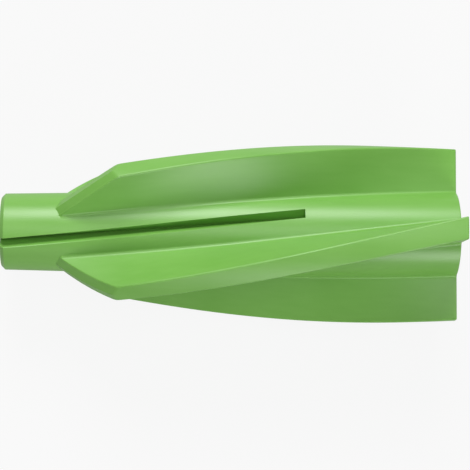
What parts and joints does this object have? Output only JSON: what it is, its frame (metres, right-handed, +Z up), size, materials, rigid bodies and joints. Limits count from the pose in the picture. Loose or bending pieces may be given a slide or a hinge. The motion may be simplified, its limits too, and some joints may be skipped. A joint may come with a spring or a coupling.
{
  "type": "aerated concrete anchor",
  "caption": "Moulded nylon anchor for aerated concrete: tapered core with helical barrel-outlined fins, ramped leading ends, V expansion grooves and a tapered screw hole.",
  "frame": {"origin": "middle of the outline seen from above, on the surface the anchor lies on", "axes": "+Z up off that surface; +X along the anchor from its tip to its rear end, with the screw axis rising 3.42 degrees towards the rear as it lies on its fins; +Y sideways"},
  "size_m": [0.076, 0.029, 0.0297],
  "materials": {
    "green_nylon": "satin moulded, mid green"
  },
  "bodies": {
    "root": {"anchor_body": "green_nylon"}
  },
  "joints": []
}
